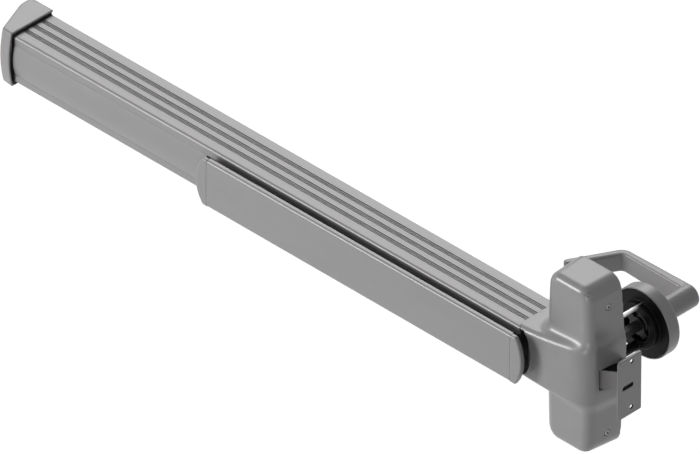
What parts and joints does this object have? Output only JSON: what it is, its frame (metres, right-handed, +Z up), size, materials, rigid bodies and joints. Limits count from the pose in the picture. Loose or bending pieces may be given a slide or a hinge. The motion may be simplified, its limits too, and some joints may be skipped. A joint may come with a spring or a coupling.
{
  "type": "panic bar",
  "caption": "push-rail exit device for a single door: rail with a long push pad, upright case with a sliding bevelled latch, jamb strike, and a round lever trim for the outside",
  "frame": {"origin": "centre of the four chassis screws, on the plane of the room face of the door, at the height of the rail's centreline", "axes": "+X along the bar towards the latch edge of the door, +Y through the door from the room to the outside, +Z up"},
  "size_m": [0.8594, 0.2059, 0.2024],
  "materials": {
    "rail_aluminium": "satin silver paint on an extrusion",
    "case_paint": "satin silver paint",
    "trim_paint": "satin silver paint",
    "black_gasket": "matt black",
    "black_metal": "matt black",
    "shoe_grey": "matt grey",
    "plated_steel": "zinc plated",
    "dark_steel": "dark plated",
    "strike_steel": "satin silver paint",
    "bright_steel": "bright",
    "spring_steel": "bright wire"
  },
  "bodies": {
    "device": {"rail": "rail_aluminium", "rail_filler": "rail_aluminium", "end_cap": "case_paint", "cap_screw": "plated_steel", "end_gasket": "black_gasket", "end_bracket": "plated_steel", "pad_spring_left": "spring_steel", "pad_spring_right": "spring_steel", "mechanism_tray": "plated_steel", "crank_bracket_left": "plated_steel", "crank_bracket_right": "plated_steel", "crank_pins": "bright_steel", "chassis_plate": "plated_steel", "rail_tongue": "plated_steel", "tongue_screws": "plated_steel", "latch_case": "plated_steel", "latch_spring": "spring_steel", "cover": "case_paint", "cover_screws": "plated_steel", "strike_plate": "strike_steel", "rose_cover": "trim_paint", "rose_plate": "black_metal", "through_bolts": "bright_steel", "lever_spring": "spring_steel"},
    "pad": {"push_pad": "rail_aluminium", "pad_end_left": "case_paint", "pad_end_right": "case_paint", "pad_carrier_left": "plated_steel", "pad_carrier_right": "plated_steel", "carrier_pins": "bright_steel"},
    "crank_left": {"bell_crank_left": "plated_steel"},
    "crank_right": {"bell_crank_right": "plated_steel"},
    "link": {"link_bar": "plated_steel", "link_pins": "bright_steel", "retractor_finger": "plated_steel"},
    "latch": {"latch_bolt": "black_metal", "latch_shoe": "shoe_grey"},
    "outside_lever": {"lever": "trim_paint", "lever_driver": "dark_steel", "lever_clip": "plated_steel", "spindle": "dark_steel", "spindle_cam": "plated_steel"}
  },
  "joints": [
    {"name": "pad_press", "type": "slide", "parent": "device", "child": "pad", "axis": [0, 1, 0], "range_m": [0, 0.01], "stiffness_N_per_m": 2000, "springref_m": -0.006, "deforming": ["pad_spring_left", "pad_spring_right"]},
    {"name": "crank_left_swing", "type": "hinge", "parent": "device", "child": "crank_left", "pos_m": [-0.4016, -0.0392, 0], "axis": [0, 0, 1], "range_deg": [0, 40]},
    {"name": "crank_right_swing", "type": "hinge", "parent": "device", "child": "crank_right", "pos_m": [-0.1606, -0.0392, 0], "axis": [0, 0, 1], "range_deg": [0, 40]},
    {"name": "link_slide", "type": "slide", "parent": "device", "child": "link", "axis": [-1, 0, 0], "range_m": [0, 0.018]},
    {"name": "latch_slide", "type": "slide", "parent": "device", "child": "latch", "axis": [-1, 0, 0], "range_m": [0, 0.018], "deforming": ["latch_spring"]},
    {"name": "lever_turn", "type": "hinge", "parent": "device", "child": "outside_lever", "pos_m": [0, 0.061, 0], "axis": [0, -1, 0], "range_deg": [0, 45], "stiffness_Nm_per_rad": 1.2, "springref_deg": -20.05}
  ],
  "couplings": [
    {"joint": "crank_left_swing", "follows": "pad_press", "rad_per_m": 69.813},
    {"joint": "crank_right_swing", "follows": "pad_press", "rad_per_m": 69.813},
    {"joint": "link_slide", "follows": "pad_press", "ratio": 1.8},
    {"joint": "latch_slide", "follows": "pad_press", "ratio": 1.8}
  ]
}
